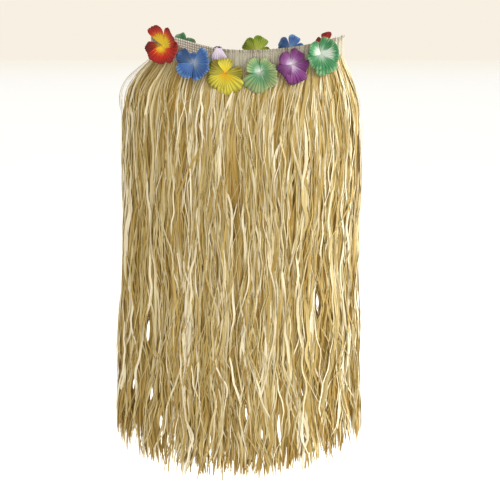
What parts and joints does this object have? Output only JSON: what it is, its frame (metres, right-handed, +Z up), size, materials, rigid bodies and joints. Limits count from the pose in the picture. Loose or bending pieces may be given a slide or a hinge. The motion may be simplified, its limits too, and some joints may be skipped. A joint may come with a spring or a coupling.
{
  "type": "grass skirt",
  "caption": "Hollow grass skirt as held at the waist: an oval woven waistband with cloth flowers, and long raffia strands that hang all round to a ragged, open hem.",
  "frame": {"origin": "middle of the waist opening, at mid height of the waistband", "axes": "+Z up, out of the waist opening; +X to the right of someone who looks at the front; +Y from the front to the back"},
  "size_m": [0.4899, 0.2072, 0.8427],
  "materials": {
    "woven_band": "matte woven raffia",
    "raffia": "dry straw-coloured raffia with a faint sheen",
    "cloth_red": "printed pleated cloth, yellow in the middle",
    "cloth_blue": "printed pleated cloth, white in the middle",
    "cloth_yellow": "printed pleated cloth, orange in the middle",
    "cloth_pale_green": "printed pleated cloth, white in the middle",
    "cloth_purple": "printed pleated cloth, white in the middle",
    "cloth_emerald": "printed pleated cloth, white in the middle",
    "cloth_lilac": "printed pleated cloth, dark at the tips",
    "cloth_yellow_green": "printed pleated cloth with pale rays"
  },
  "bodies": {
    "root": {"waistband": "woven_band", "raffia_front_1": "raffia", "raffia_front_2": "raffia", "raffia_front_3": "raffia", "raffia_front_4": "raffia", "raffia_right_1": "raffia", "raffia_right_2": "raffia", "raffia_back_1": "raffia", "raffia_back_2": "raffia", "raffia_back_3": "raffia", "raffia_back_4": "raffia", "raffia_left_1": "raffia", "raffia_left_2": "raffia", "flower_front_red": "cloth_red", "flower_front_blue": "cloth_blue", "flower_front_yellow": "cloth_yellow", "flower_front_pale_green": "cloth_pale_green", "flower_front_purple": "cloth_purple", "flower_front_emerald": "cloth_emerald", "flower_back_green": "cloth_emerald", "flower_back_lilac": "cloth_lilac", "flower_back_yellow_green": "cloth_yellow_green", "flower_back_blue": "cloth_blue", "flower_back_red": "cloth_red"}
  },
  "joints": []
}
